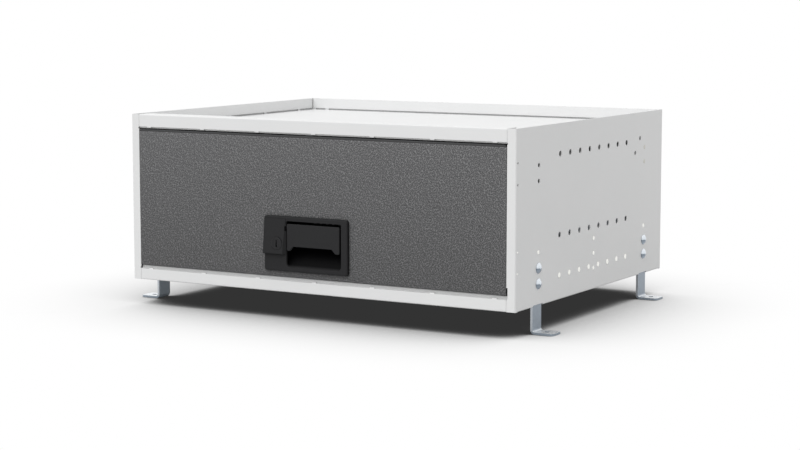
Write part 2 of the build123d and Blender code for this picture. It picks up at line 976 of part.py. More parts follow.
def tub_walls():
    # The outer form of the tub less its inside.
    low = body_low + tub_low
    top = body_low + tub_top
    outer = slab((-tub_half, tub_half), (tub_front, tub_back), tub_corner, "z", low, top)
    outer = fillet(outer.faces().sort_by(Axis.Z)[0].edges(), tub_floor_round)
    inside_x = tub_half - tub_wall
    ys = (tub_front + tub_wall, tub_back - tub_wall)
    inside = slab((-inside_x, inside_x), ys, tub_corner - tub_wall, "z", low + tub_wall, top + overrun)
    inside = fillet(inside.faces().sort_by(Axis.Z)[0].edges(), tub_floor_round - tub_wall)
    return outer, inside


def tub_rim():
    # The turned-over rim of the tub.
    top = body_low + tub_top
    half = tub_half + rim_out
    rear = tub_back + rim_out - sheet
    points = [(-half, tub_front), (half, tub_front), (half, rear), (-half, rear)]
    radii = [rim_front_corner, rim_front_corner, tub_corner, tub_corner]
    band = prism(points, radii, "z", top - rim_drop - rim_thick, top)
    inside = [
        (-half + rim_thick, tub_front + rim_thick),
        (half - rim_thick, tub_front + rim_thick),
        (half - rim_thick, rear - rim_thick),
        (-half + rim_thick, rear - rim_thick),
    ]
    inner_radii = [sheet, sheet, tub_corner - rim_thick, tub_corner - rim_thick]
    return cut(band, [prism(inside, inner_radii, "z", top - 2 * rim_drop, top - rim_thick)])


def drawer_tub():
    # The moulded tub with its rim, divider slots and screw holes.
    outer, inside = tub_walls()
    body = cut(joined([outer, tub_rim()]), [inside])
    low = body_low + tub_low + tub_wall - lay_gap
    top = body_low + tub_top - divider_clear
    ribs = []
    for place in spread(divider_slots, divider_pitch):
        middle = (tub_front + tub_back) / 2 + place
        for edge in (-1, 1):
            start = middle + edge * (divider_gap + divider_rib) / 2 - divider_rib / 2
            for side in (-1, 1):
                one = side * (tub_half - tub_wall / 2)
                two = side * (tub_half - tub_wall - divider_rib_depth)
                xs = (min(one, two), max(one, two))
                ribs.append(block(xs, (start, start + divider_rib), (low + tub_floor_round, top)))
    body = joined([body] + ribs)
    tools = []
    through = (tub_front - overrun, tub_front + tub_wall + overrun)
    for x, z in tub_screw_places():
        tools.append(rod(tub_screw_hole, "y", x, z, *through))
    for place in inner_screw_places():
        for side in (-1, 1):
            reach = (side * (tub_half - 2 * tub_wall), side * (tub_half + overrun))
            tools.append(rod(slide_screw_hole, "x", place, slide_middle, min(reach), max(reach)))
    return cut(body, tools)


def tub_screws():
    # Screws from inside the tub into the bosses of the drawer front.
    parts = []
    face = tub_front + tub_wall
    tip = face + tub_screw_head_height
    for x, z in tub_screw_places():
        head = button(tub_screw_head, tub_screw_round, "y", x, z, face, tip)
        shank = rod(tub_screw_radius, "y", x, z, tub_front - tub_screw_reach, tip - tub_screw_round)
        parts.append(joined([head, shank]))
    return group(parts)


# Drawer front

def fascia_shell():
    # The moulded front: a plate with rounded edges and an inset frame behind it, open at the back.
    half = stile_edge - fascia_side_gap
    low = body_low + fascia_low
    top = body_low + fascia_top
    corners = [(-half, low), (half, low), (half, top), (-half, top)]
    rounds = [fascia_side_round, fascia_side_round, fascia_corner, fascia_corner]
    plate = prism(corners, rounds, "y", front, front + fascia_plate)
    plate = fillet(plate.faces().sort_by(Axis.Y)[0].edges(), fascia_edge_round)
    rear = front + fascia_plate
    outline = [(front, low), (rear, low), (rear, top), (front, top)]
    plate = plate & prism(outline, [0, 0, 0, fascia_top_round], "x", -half, half)
    frame_z = (body_low + frame_low, body_low + frame_top)
    frame = block((-tub_half, tub_half), (front + fascia_wall, tub_front), frame_z)
    hollow = block(
        (-tub_half + fascia_wall, tub_half - fascia_wall),
        (front + fascia_wall, tub_front + overrun),
        (frame_z[0] + fascia_wall, frame_z[1] - fascia_wall),
    )
    return cut(joined([plate, frame]), [hollow])


def guide_pads():
    # Pads behind the skin that carry the rod guides.
    pads = []
    for height in guide_heights:
        xs = (rod_x - guide_width / 2, rod_x + guide_width / 2)
        zs = (body_low + height, body_low + height + guide_height)
        pads.append(block(xs, (front + sheet, rod_front - lay_gap - guide_fit), zs))
    return pads


def latch_screw_places():
    # Where the latch housing is screwed from behind.
    xs = (latch_left + latch_flange / 2, latch_right - latch_flange / 2)
    return [(x, body_low + height) for x in xs for height in latch_screw_heights]


def drawer_front():
    # The drawer front with bosses, ribs, guide pads and the latch opening.
    shell = fascia_shell()
    adds = guide_pads()
    skin = front + fascia_wall / 2
    for x, z in tub_screw_places():
        adds.append(rod(boss_radius, "y", x, z, skin, tub_front))
    low = body_low + frame_low + fascia_wall / 2
    top = body_low + frame_top - fascia_wall / 2
    for share in fascia_ribs_share:
        middle = share * body_width
        xs = (middle - fascia_rib / 2, middle + fascia_rib / 2)
        adds.append(block(xs, (skin, front + fascia_rib_depth), (low, top)))
    body = joined([shell] + adds)
    tools = []
    for x, z in tub_screw_places():
        tools.append(rod(boss_hole, "y", x, z, front + fascia_wall, tub_front + overrun))
    xs = (latch_left + latch_flange - latch_fit, latch_right - latch_flange + latch_fit)
    zs = (body_low + latch_low + latch_flange - latch_fit, body_low + latch_top - latch_flange + latch_fit)
    tools.append(slab(xs, zs, sheet, "y", front - overrun, front + 2 * fascia_wall))
    for x, z in latch_screw_places():
        tools.append(rod(latch_screw_hole, "y", x, z, front - overrun, front + fascia_wall + overrun))
    half = rod_width / 2 + keeper_room
    ys = (rod_front - keeper_room, rod_front + rod_thick + keeper_room)
    zs = (top - fascia_wall, body_low + frame_top + overrun)
    tools.append(block((rod_x - half, rod_x + half), ys, zs))
    return cut(body, tools)


# Latch

def pocket_tool():
    # The finger pocket: a curved scoop seen from the side, with rounded corners from the front.
    low = body_low + pocket_low
    top = body_low + pocket_top
    deep = pocket_back - pocket_wall
    mouth = latch_front - overrun
    points = [
        (mouth, low),
        (latch_front + overrun, low),
        (deep, low + pocket_scoop_height),
        (deep, top),
        (mouth, top),
    ]
    radii = [0, pocket_lip_round, pocket_scoop_round, pocket_ceiling_round, 0]
    scoop = prism(points, radii, "x", pocket_left, pocket_right)
    corners = [(pocket_left, low), (pocket_right, low), (pocket_right, top), (pocket_left, top)]
    rounds = [pocket_low_round, pocket_low_round, pocket_top_round, pocket_top_round]
    mask = prism(corners, rounds, "y", mouth - overrun, pocket_back)
    return scoop.intersect(mask).solids()[0]


def pin_entry():
    # The notch beside the pocket through which the hinge pin goes in.
    xs = (pocket_left - pin_entry_width, pocket_left + overrun)
    ys = (latch_front - lock_plate_rise - overrun, latch_front + pin_entry_depth)
    return block(xs, ys, (pivot_z - pin_entry_below, pivot_z + pin_entry_above))


def ceiling_rib_blocks():
    # Short stiffening ribs under the ceiling of the pocket, above the paddle.
    ys = (latch_front + ceiling_rib_setback, latch_front + ceiling_rib_setback + ceiling_rib_depth)
    ceiling = body_low + pocket_top
    blocks = []
    for index in range(ceiling_ribs):
        left = ceiling_rib_left + index * ceiling_rib_pitch
        blocks.append(block((left, left + ceiling_rib_width), ys, (ceiling - ceiling_rib_drop, ceiling + sheet)))
    return blocks


def latch_housing():
    # The moulded housing: a proud frame, a box through the drawer front and the finger pocket.
    xs = (latch_left, latch_right)
    zs = (body_low + latch_low, body_low + latch_top)
    frame = slab(xs, zs, latch_corner, "y", latch_front, front)
    frame = fillet(frame.faces().sort_by(Axis.Y)[0].edges(), latch_edge_round)
    box_x = (latch_left + latch_flange, latch_right - latch_flange)
    box_z = (zs[0] + latch_flange, zs[1] - latch_flange)
    box = slab(box_x, box_z, sheet, "y", front - sheet, latch_box_back)
    hollow_x = (box_x[0] + pocket_wall, pocket_left - 2 * pocket_wall)
    hollow_z = (box_z[0] + pocket_wall, body_low + lock_plate_low - 2 * pocket_wall)
    hollow = block(hollow_x, (front, latch_box_back + overrun), hollow_z)
    upper_z = (body_low + lock_z + lock_barrel_radius + 2 * pocket_wall, box_z[1] - pocket_wall)
    upper = block(hollow_x, (front, latch_box_back + overrun), upper_z)
    body = cut(joined([frame, box]), [pocket_tool(), hollow, upper])
    pin_ends = (pocket_left - pin_reach, pocket_right + pin_reach)
    arm_zs = (pivot_z - arm_slot_drop, pivot_z + arm_slot_rise)
    arm_xs = (arm_left - arm_fit, arm_left + arm_width + arm_fit)
    tools = [
        rod(pin_radius + hub_fit, "x", pivot_y, pivot_z, *pin_ends),
        rod(lock_barrel_radius + lock_fit, "y", lock_x, body_low + lock_z, latch_front - overrun, tub_front),
        block(arm_xs, (pocket_back - 2 * pocket_wall, pocket_back + overrun), arm_zs),
        pin_entry(),
    ]
    for x, z in latch_screw_places():
        tools.append(rod(latch_screw_hole, "y", x, z, front - latch_screw_depth - lay_gap, front + overrun))
    return joined([cut(body, tools), *ceiling_rib_blocks()])


def lock_plate():
    # The wedge-shaped plate around the lock, flush at its top and proud at its lower edge.
    low = body_low + lock_plate_low
    top = body_low + lock_plate_top
    points = [
        (latch_front, low),
        (latch_front - lock_plate_rise, low),
        (latch_front - lock_plate_thin, top),
        (latch_front, top),
    ]
    radii = [0, sheet, lock_plate_thin / 2, 0]
    right = pocket_left - lock_plate_edge
    body = prism(points, radii, "x", latch_left + lock_plate_side, right)
    spec = ("y", lock_x, body_low + lock_z)
    deep = latch_front - lock_plate_rise - overrun
    slant = [
        (right, latch_front),
        (right - lock_plate_slant, latch_front - lock_plate_rise),
        (right - lock_plate_slant, deep),
        (right + overrun, deep),
        (right + overrun, latch_front),
    ]
    side = prism(slant, [0] * len(slant), "z", low - overrun, top + overrun)
    bore = rod(lock_barrel_radius + lock_fit, *spec, deep, latch_front + overrun)
    seat = rod(lock_ring_radius + lock_fit, *spec, deep, lock_ring_back())
    return cut(body, [bore, seat, side, pin_entry()])


def lock_ring_front():
    # The front of the lock's ring.
    return latch_front - lock_plate_rise - lock_ring_proud + sheet


def lock_ring_back():
    # The seat of the lock's ring.
    return lock_ring_front() + lock_ring_depth + lock_ring_proud


def lock_barrel():
    # The fixed barrel of the lock with its ring.
    spec = ("y", lock_x, body_low + lock_z)
    ring = rod(lock_ring_radius, *spec, lock_ring_front(), lock_ring_back())
    ring = fillet(ring.edges().filter_by(GeomType.CIRCLE).group_by(Axis.Y)[0], lock_ring_depth / 2)
    body = rod(lock_barrel_radius, *spec, lock_ring_front() + lock_ring_depth, pocket_back + lock_tail)
    bore = rod(lock_plug_radius + lock_fit, *spec, lock_ring_front() - overrun, tub_front)
    return cut(joined([ring, body]), [bore])


def lock_plug():
    # The turning plug with its key slot.
    z = body_low + lock_z
    plug_back = cam_front()
    body = rod(lock_plug_radius, "y", lock_x, z, lock_ring_front() + lay_gap, plug_back)
    xs = (lock_x - key_slot_width / 2, lock_x + key_slot_width / 2)
    zs = (z - key_slot_height / 2, z + key_slot_height / 2)
    slot = slab(xs, zs, key_slot_round, "y", lock_ring_front() - overrun, lock_ring_front() + key_slot_depth)
    hole = rod(cam_screw_shank + lock_fit, "y", lock_x, z, plug_back - key_slot_depth, plug_back + overrun)
    return cut(body, [slot, hole])


def cam_front():
    # The front face of the lock's cam.
    return pocket_back + lock_tail + sheet


def lock_cam():
    # The tongue on the plug, pointing down when unlocked.
    z = body_low + lock_z
    xs = (lock_x - cam_width / 2, lock_x + cam_width / 2)
    zs = (z - cam_length + cam_width / 2, z + cam_width / 2)
    plate = slab(xs, zs, cam_boss_radius, "y", cam_front(), cam_front() + cam_thick)
    hole = rod(cam_screw_shank + lock_fit, "y", lock_x, z, cam_front() - overrun, cam_front() + cam_thick + overrun)
    return cut(plate, [hole])


def cam_screw():
    # The screw that holds the cam to the plug.
    z = body_low + lock_z
    face = cam_front() + cam_thick
    tip = face + cam_screw_height
    head = button(cam_screw_head, sheet / 2, "y", lock_x, z, face, tip)
    shank = rod(cam_screw_shank, "y", lock_x, z, cam_front() - key_slot_depth + sheet, face + sheet / 2)
    return joined([head, shank])


def paddle_flap():
    # The visible flap with the shallow notch in its lower edge.
    low = body_low + paddle_low
    top = body_low + paddle_top
    points = [
        (paddle_left, low),
        (notch_left - notch_slant, low),
        (notch_left, low + notch_rise),
        (notch_right, low + notch_rise),
        (notch_right + notch_slant, low),
        (paddle_right, low),
        (paddle_right, top),
        (paddle_left, top),
    ]
    radii = [paddle_corner, sheet, sheet, sheet, sheet, paddle_corner, paddle_corner, paddle_corner]
    face = latch_front + paddle_setback
    flap = prism(points, radii, "y", face, face + paddle_thick)
    return fillet(flap.faces().sort_by(Axis.Y)[0].edges(), paddle_edge_round)


def paddle_hubs():
    # Hub stretches on the pin, on both sides of the spring.
    return ((paddle_left, spring_left - spring_room), (spring_right + spring_room, paddle_right))


def paddle():
    # The paddle: flap, hubs round the pin, webs and the arm that draws the rod.
    parts = [paddle_flap()]
    face = latch_front + paddle_setback + paddle_thick
    for xs in paddle_hubs():
        parts.append(rod(hub_radius, "x", pivot_y, pivot_z, *xs))
        ys = (face - paddle_thick / 2, pivot_y)
        parts.append(block(xs, ys, (pivot_z - hub_web, pivot_z + hub_web)))
    arm_end = pivot_y + arm_length
    arm = slab(
        (pivot_y, arm_end),
        (pivot_z - arm_half, pivot_z + arm_half),
        sheet,
        "x",
        arm_left,
        arm_left + arm_width,
    )
    parts.append(arm)
    bore = rod(pin_radius + hub_fit, "x", pivot_y, pivot_z, paddle_left - overrun, paddle_right + overrun)
    return cut(joined(parts), [bore])


def paddle_pin():
    # The pivot pin of the paddle.
    ends = (pocket_left - pin_reach, pocket_right + pin_reach)
    return rod(pin_radius, "x", pivot_y, pivot_z, ends[0] + lay_gap, ends[1] - lay_gap)


def paddle_spring():
    # A close-wound torsion spring round the pin, with one leg against the pocket.
    pitch = (spring_right - spring_left) / spring_turns
    outer = spring_inner + spring_wire
    root = outer - pitch / 2
    points = [(spring_left, spring_inner)]
    for index in range(spring_turns):
        start = spring_left + index * pitch
        points += [(start, root), (start + pitch / 4, outer), (start + 3 * pitch / 4, outer)]
    points += [(spring_right, root), (spring_right, spring_inner)]
    outline = [Vector(x, pivot_y, pivot_z + radius) for x, radius in points]
    face = Face(Wire.make_polygon(outline, close=True))
    body = revolve(face, Axis((0, pivot_y, pivot_z), (1, 0, 0))).solids()[0]
    leg_x = spring_right - pitch / 2
    leg_z = pivot_z + spring_inner + spring_wire / 2
    leg = rod(spring_wire / 2 - lay_gap, "y", leg_x, leg_z, pivot_y, pivot_y + spring_leg)
    return joined([body, leg])


def latch_rod():
    # The rod that the paddle draws down, its nose bevelled.
    half = rod_width / 2
    low = body_low + rod_low
    top = body_low + rod_top
    ys = (rod_front, rod_front + rod_thick)
    points = [
        (rod_x - half, low),
        (rod_x + half, low),
        (rod_x + half, top - rod_nose_slope),
        (rod_x + half - rod_nose_slope / 2, top),
        (rod_x - half + rod_nose_slope / 2, top),
        (rod_x - half, top - rod_nose_slope),
    ]
    body = prism(points, [0, 0, 0, sheet / 2, sheet / 2, 0], "y", *ys)
    xs = (arm_left - rod_window_side, arm_left + arm_width + rod_window_side)
    zs = (pivot_z - arm_half - rod_window_low, pivot_z + arm_half + rod_window_high)
    window = block(xs, (ys[0] - overrun, ys[1] + overrun), zs)
    return cut(body, [window])


def rod_guides():
    # Two guides on the pads of the drawer front.
    parts = []
    for height in guide_heights:
        xs = (rod_x - guide_width / 2, rod_x + guide_width / 2)
        ys = (rod_front - lay_gap - guide_fit, tub_front - guide_back_gap)
        zs = (body_low + height, body_low + height + guide_height)
        half = rod_width / 2 + guide_fit
        slot = block(
            (rod_x - half, rod_x + half),
            (ys[0] - overrun, rod_front + rod_thick + guide_fit),
            (zs[0] - overrun, zs[1] + overrun),
        )
        parts.append(cut(block(xs, ys, zs), [slot]))
    return group(parts)


def latch_screws():
    # Screws from behind the skin into the latch housing.
    parts = []
    base = front + fascia_wall
    tip = base + latch_screw_head_height
    for x, z in latch_screw_places():
        head = button(latch_screw_head, sheet / 2, "y", x, z, base, tip)
        shank = rod(latch_screw_radius, "y", x, z, front - latch_screw_depth, tip - sheet / 2)
        parts.append(joined([head, shank]))
    return group(parts)


def both_sides(parts):
    # Right-hand parts with their left-hand twins, in one node.
    return group(parts + [flipped(part) for part in parts])


nodes = {
    "side_panel_right": side_panel(True),
    "side_panel_left": flipped(side_panel(False)),
    "top_tray": top_tray(),
    "bottom_panel": bottom_panel(),
    "rear_panel": rear_panel(),
    "panel_rivets": panel_rivets(),
    "rod_keeper": keeper(),
    "keeper_rivets": keeper_rivets(),
    "foot_front_right": foot(-column_offset),
    "foot_rear_right": foot(column_offset),
    "foot_bolts": both_sides(foot_bolt_set()),
    "foot_nuts": both_sides(foot_nut_set()),
    "slide_bracket_right": slide_bracket(),
    "slide_outer_right": slide_outer(),
    "slide_middle_right": slide_middle_member(),
    "slide_inner_right": slide_inner_member(),
    "ball_cage_outer_right": outer_cage(),
    "ball_cage_inner_right": inner_cage(),
    "bracket_screws": both_sides(outer_screw_set()),
    "slide_bumpers": both_sides([slide_bumper()]),
    "tub_side_screws": both_sides(inner_screw_set()),
    "drawer_tub": drawer_tub(),
    "tub_front_screws": tub_screws(),
    "drawer_front": drawer_front(),
    "latch_housing": latch_housing(),
    "latch_screws": latch_screws(),
    "lock_plate": lock_plate(),
    "lock_barrel": lock_barrel(),
    "lock_plug": lock_plug(),
    "lock_cam": lock_cam(),
    "cam_screw": cam_screw(),
    "paddle": paddle(),
    "paddle_pin": paddle_pin(),
    "paddle_spring": paddle_spring(),
    "latch_rod": latch_rod(),
    "rod_guides": rod_guides(),
}
for name in list(nodes):
    if name.endswith("_right"):
        nodes.setdefault(name.replace("_right", "_left"), flipped(nodes[name]))

os.makedirs("parts", exist_ok=True)
for name, part in nodes.items():
    export_step(part, os.path.join("parts", name + ".step"))
    print(name, len(part.solids()))
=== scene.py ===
import json
import math

import bmesh
import bpy
from mathutils import Matrix, Vector


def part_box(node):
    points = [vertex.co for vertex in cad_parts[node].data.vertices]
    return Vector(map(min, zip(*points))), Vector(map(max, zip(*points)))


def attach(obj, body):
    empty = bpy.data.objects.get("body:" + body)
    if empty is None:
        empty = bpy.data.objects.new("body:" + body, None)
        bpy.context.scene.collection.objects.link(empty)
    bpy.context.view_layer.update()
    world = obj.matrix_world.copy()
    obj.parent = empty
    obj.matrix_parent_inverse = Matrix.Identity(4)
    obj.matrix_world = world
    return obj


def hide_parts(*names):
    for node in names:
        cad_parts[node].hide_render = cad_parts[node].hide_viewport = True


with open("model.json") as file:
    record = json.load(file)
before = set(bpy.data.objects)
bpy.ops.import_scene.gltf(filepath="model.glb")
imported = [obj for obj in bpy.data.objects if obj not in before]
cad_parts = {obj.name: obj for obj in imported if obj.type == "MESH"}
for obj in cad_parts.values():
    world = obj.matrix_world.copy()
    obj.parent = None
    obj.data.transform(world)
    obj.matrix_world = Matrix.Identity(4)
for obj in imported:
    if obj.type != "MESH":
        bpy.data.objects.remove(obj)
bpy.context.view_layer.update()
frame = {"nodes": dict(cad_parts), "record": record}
nodes = frame["nodes"]
print("frame loaded,", len(nodes), "nodes")

mm = 0.001    # a setting whose name ends in Mm is in millimetres, and the scene is in metres


# shader tree helpers

samples = {"edge": 6, "seam": 8, "floor": 24}    # rays sent out by the bevel and occlusion nodes


def linearColour(hexText):
    # sRGB hex to the linear colour that a socket takes
    parts = [int(hexText[i:i + 2], 16) / 255 for i in (1, 3, 5)]
    linear = [p / 12.92 if p <= 0.04045 else ((p + 0.055) / 1.055) ** 2.4 for p in parts]
    return (*linear, 1.0)


def perMetre(sizeMm):
    # a pattern's scale for a feature of this many millimetres
    return 1 / (sizeMm * mm)


def newMaterial(name):
    material = bpy.data.materials.new(name)
    material.use_nodes = True
    tree = material.node_tree
    tree.nodes.clear()
    return material, tree


def addNode(tree, kind, settings=None, links=None):
    # A number stands for the socket at that place. In a Mix, 0 is the factor, 2 and 3 are the two
    # values or 6 and 7 the two colours, and output 2 is the colour they make.
    node = tree.nodes.new(kind)
    for key, value in (settings or {}).items():
        if isinstance(key, int) or key in node.inputs:
            node.inputs[key].default_value = value
        else:
            setattr(node, key, value)
    for key, source in (links or {}).items():
        tree.links.new(source, node.inputs[key])
    return node


def setStops(ramp, stops):
    # the stops of a ramp, each a position with a hex colour or a grey level
    elements = ramp.color_ramp.elements
    for position, colour in stops[1:-1]:
        elements.new(position)
    for element, (position, colour) in zip(elements, stops):
        element.position = position
        element.color = linearColour(colour) if isinstance(colour, str) else (colour, colour, colour, 1)


def seenRays(tree):
    # 1 for what the eye, a reflection or a glass sees, 0 for light that lands on the object
    ray = addNode(tree, "ShaderNodeLightPath")
    either = addNode(tree, "ShaderNodeMath", {"operation": "MAXIMUM"},
                     {0: ray.outputs["Is Camera Ray"], 1: ray.outputs["Is Glossy Ray"]})
    return addNode(tree, "ShaderNodeMath", {"operation": "MAXIMUM"},
                   {0: either.outputs[0], 1: ray.outputs["Is Transmission Ray"]}).outputs[0]


# camera, floor and light

view = {
    "place": (1.3831, -2.3831, 0.4314),
    "tilt": 83.21,      # degrees up from straight down
    "turn": 30.17,      # degrees to the left of straight back
    "lens": 88.72,      # on a sensor this wide, both in millimetres
    "sensor": 36.0,
    "frameWide": 800,    # pixels
    "nudge": 0.5,       # pixels to the right
    "farEnd": 500,      # metres, past the end of the floor
}


def makeCamera():
    data = bpy.data.cameras.new("studioCamera")
    data.lens = view["lens"]
    data.sensor_width = view["sensor"]
    data.clip_end = view["farEnd"]
    data.shift_x = -view["nudge"] / view["frameWide"]
    camera = bpy.data.objects.new("studioCamera", data)
    camera.location = view["place"]
    camera.rotation_euler = (math.radians(view["tilt"]), 0, math.radians(view["turn"]))
    bpy.context.scene.collection.objects.link(camera)
    bpy.context.scene.camera = camera


floorLook = {
    "size": 300.0,          # metres
    "bounce": "#CBCBCB",    # what the paper sends back to the object
    "reachMm": 260.0,       # how far from the case its shadow still shows
    "shade": ((0.0, 0.033), (0.22, 0.033), (0.35, 0.08), (0.48, 0.35), (0.55, 0.515),
              (0.61, 0.65), (0.70, 0.79), (0.80, 0.90), (0.90, 0.965), (0.97, 1.0)),
}


def makeFloor():
    # white paper: pure white where it is open, and dark where the case shuts off the light
    mesh = bpy.data.meshes.new("studioFloor")
    half = floorLook["size"] / 2
    corners = [(-half, -half, 0), (half, -half, 0), (half, half, 0), (-half, half, 0)]
    mesh.from_pydata(corners, [], [(0, 1, 2, 3)])
    floor = bpy.data.objects.new("studioFloor", mesh)
    bpy.context.scene.collection.objects.link(floor)
    material, tree = newMaterial("whitePaperFloor")
    openness = addNode(tree, "ShaderNodeAmbientOcclusion", {
        "samples": samples["floor"], "Distance": floorLook["reachMm"] * mm})
    shade = addNode(tree, "ShaderNodeValToRGB", {}, {"Fac": openness.outputs["AO"]})
    setStops(shade, floorLook["shade"])
    plain = addNode(tree, "ShaderNodeEmission", {}, {"Color": shade.outputs["Color"]})
    paper = addNode(tree, "ShaderNodeBsdfDiffuse", {"Color": linearColour(floorLook["bounce"])})
    both = addNode(tree, "ShaderNodeMixShader", {},
                   {0: seenRays(tree), 1: paper.outputs[0], 2: plain.outputs[0]})
    addNode(tree, "ShaderNodeOutputMaterial", {}, {"Surface": both.outputs[0]})
    mesh.materials.append(material)


studio = {
    "sky": 0.645,           # plain light from all round
    "key": 1.38,            # soft light from high in front
    "keyToward": (-0.16, -0.58, 0.80),
    "keySpread": 60,
}


def makeLight():
    world = bpy.data.worlds.new("studioSky")
    bpy.context.scene.world = world
    world.use_nodes = True
    tree = world.node_tree
    tree.nodes.clear()
    # what is seen of the sky is plain white, whatever light it gives
    strength = addNode(tree, "ShaderNodeMix", {"data_type": "FLOAT", 2: studio["sky"], 3: 1.0},
                       {0: seenRays(tree)})
    sky = addNode(tree, "ShaderNodeBackground", {"Color": (1, 1, 1, 1)}, {"Strength": strength.outputs[0]})
    addNode(tree, "ShaderNodeOutputWorld", {}, {"Surface": sky.outputs[0]})
    lamp = bpy.data.lights.new("keyLight", "SUN")
    lamp.energy = studio["key"]
    lamp.angle = math.radians(studio["keySpread"])
    key = bpy.data.objects.new("keyLight", lamp)
    key.rotation_euler = Vector(studio["keyToward"]).to_track_quat("Z", "Y").to_euler()
    bpy.context.scene.collection.objects.link(key)


makeCamera()
makeFloor()
makeLight()
bpy.context.scene.view_settings.view_transform = "Standard"
print("camera, floor and light made")


# what the finishes share

def finishNodes(name, look):
    # its own place in metres, softened edges and a Principled shader
    material, tree = newMaterial(name)
    place = addNode(tree, "ShaderNodeTexCoord").outputs["Object"]
    edge = addNode(tree, "ShaderNodeBevel", {"samples": samples["edge"], "Radius": look["edgeMm"] * mm})
    shader = addNode(tree, "ShaderNodeBsdfPrincipled", {
        "Metallic": look.get("metallic", 0.0), "Roughness": look["roughness"]})
    if "ior" in look:
        shader.inputs["IOR"].default_value = look["ior"]
    if "specular" in look:
        shader.inputs["Specular IOR Level"].default_value = look["specular"]
    addNode(tree, "ShaderNodeOutputMaterial", {}, {"Surface": shader.outputs[0]})
    return material, tree, place, edge.outputs[0], shader


def mixedColour(tree, amount, low, high):
    # from one hex colour to the other as the amount rises
    return addNode(tree, "ShaderNodeMix", {"data_type": "RGBA", 6: linearColour(low), 7: linearColour(high)},
                   {0: amount}).outputs[2]


def darkSeams(tree, colour, look):
    # Painted shade: the colour goes dark in slots and gaps narrower than its reach in
    # millimetres, where shade would fall. Each stop is how open the place is, and the share of its colour
    # that is left there.
    openness = addNode(tree, "ShaderNodeAmbientOcclusion", {
        "samples": samples["seam"], "Distance": look["seamMm"] * mm})
    seam = addNode(tree, "ShaderNodeValToRGB", {}, {"Fac": openness.outputs["AO"]})
    setStops(seam, look["seam"])
    return addNode(tree, "ShaderNodeMix", {"data_type": "RGBA", "blend_type": "MULTIPLY", 0: 1.0},
                   {6: colour, 7: seam.outputs["Color"]}).outputs[2]


def spreadRoughness(tree, shader, amount, look):
    low, high = look["roughSpan"]
    span = addNode(tree, "ShaderNodeMapRange", {"To Min": low, "To Max": high}, {"Value": amount})
    tree.links.new(span.outputs[0], shader.inputs["Roughness"])


def raised(tree, shader, height, look, edge):
    bump = addNode(tree, "ShaderNodeBump", {"Strength": look["relief"], "Distance": look["depthMm"] * mm},
                   {"Height": height, "Normal": edge})
    tree.links.new(bump.outputs[0], shader.inputs["Normal"])


def patternedFinish(name, look):
    # the plainer finishes: one pattern shifts colour, sheen and relief together
    material, tree, place, edge, shader = finishNodes(name, look)
    if "lengthMm" in look:
        place = addNode(tree, "ShaderNodeMapping", {
            "Scale": (1, look["patternMm"] / look["lengthMm"], 1)}, {"Vector": place}).outputs[0]
    pattern = addNode(tree, "ShaderNodeTexNoise", {
        "Scale": perMetre(look["patternMm"]), "Detail": look["detail"]}, {"Vector": place}).outputs[0]
    tree.links.new(mixedColour(tree, pattern, look["low"], look["high"]), shader.inputs["Base Color"])
    if "roughSpan" in look:
        spreadRoughness(tree, shader, pattern, look)
    raised(tree, shader, pattern, look, edge)
    return material


# finishes of the case and the drawer

powder = {
    "edgeMm": 0.7, "roughness": 0.42, "roughSpan": (0.36, 0.48), "ior": 1.5, "specular": 0.4,
    "low": "#EAEBEB", "high": "#EFEFEF",
    "driftMm": 90.0, "driftDetail": 2.0,
    "peelMm": 1.6, "peelDetail": 1.0,
    "depthMm": 0.03, "relief": 0.25,
    # painted shade: greys the folds and slots narrower than this reach
    "seamMm": 4.0, "seam": ((0.0, 0.50), (0.5, 0.76), (0.86, 1.0)),
}


def powderCoatedSteel():
    # Powder-coated steel sheet: even white with a faint orange peel that breaks up the highlights,
    # and painted shade that greys the folds and slots where sheets meet.
    material, tree, place, edge, shader = finishNodes("powderCoatedSteel", powder)
    drift = addNode(tree, "ShaderNodeTexNoise", {
        "Scale": perMetre(powder["driftMm"]), "Detail": powder["driftDetail"]}, {"Vector": place})
    coat = mixedColour(tree, drift.outputs[0], powder["low"], powder["high"])
    # painted shade in the folds and slots
    tree.links.new(darkSeams(tree, coat, powder), shader.inputs["Base Color"])
    peel = addNode(tree, "ShaderNodeTexNoise", {
        "Scale": perMetre(powder["peelMm"]), "Detail": powder["peelDetail"]}, {"Vector": place})
    spreadRoughness(tree, shader, peel.outputs[0], powder)
    raised(tree, shader, peel.outputs[0], powder, edge)
    return material


fascia = {
    "edgeMm": 0.5, "roughness": 0.55, "ior": 1.49, "specular": 0.35,
    "low": "#3A3A3B", "high": "#808081",
    "toneSpan": (0.58, 1.20),    # heights of the grain that come out darkest and lightest
    "grainMm": 1.5,         # across a grain, drawn a little coarser than it is
    "grainLengthMm": 2.3,
    "grainUneven": 0.85,
    "grainSlope": 38,       # degrees, the way the grains lean
    "grainShare": 0.9,      # of the grain beside the fine pattern over it
    "fineMm": 0.6, "fineDetail": 2.0,    # coarser than the real one too
    "depthMm": 0.16, "relief": 0.8,
    "smooth": "#373738",    # the rounded top edge, which has no grain
    "smoothMm": 3.2, "fadeMm": 0.6,
    "foot": 0.74, "footHigh": 0.045,    # painted shade: the moulding's tone falls off towards its foot and rises at its crest, between these heights in metres above the floor
    "crest": 1.10, "crestHigh": 0.235,    # these heights in metres above the floor
    # painted highlight: a broken light line where the grain starts, under the top edge and over the latch
    "line": "#8E8E8F", "lineShare": 0.55,
    "lineSpan": (0.8, 1.0),    # heights of the grain between which the line comes in
    "edgeLineMm": (0.7, 0.6),    # how far under the edge, and how far it reaches either way
    "latchLineMm": (0.9, 0.8),    # the same over the latch
    "latchLineInsetMm": 4.0,
    # painted shade: the grain goes near black in creases and gaps within this reach
    "seamMm": 7.0, "seam": ((0.0, 0.05), (0.45, 0.12), (0.78, 1.0)),
}


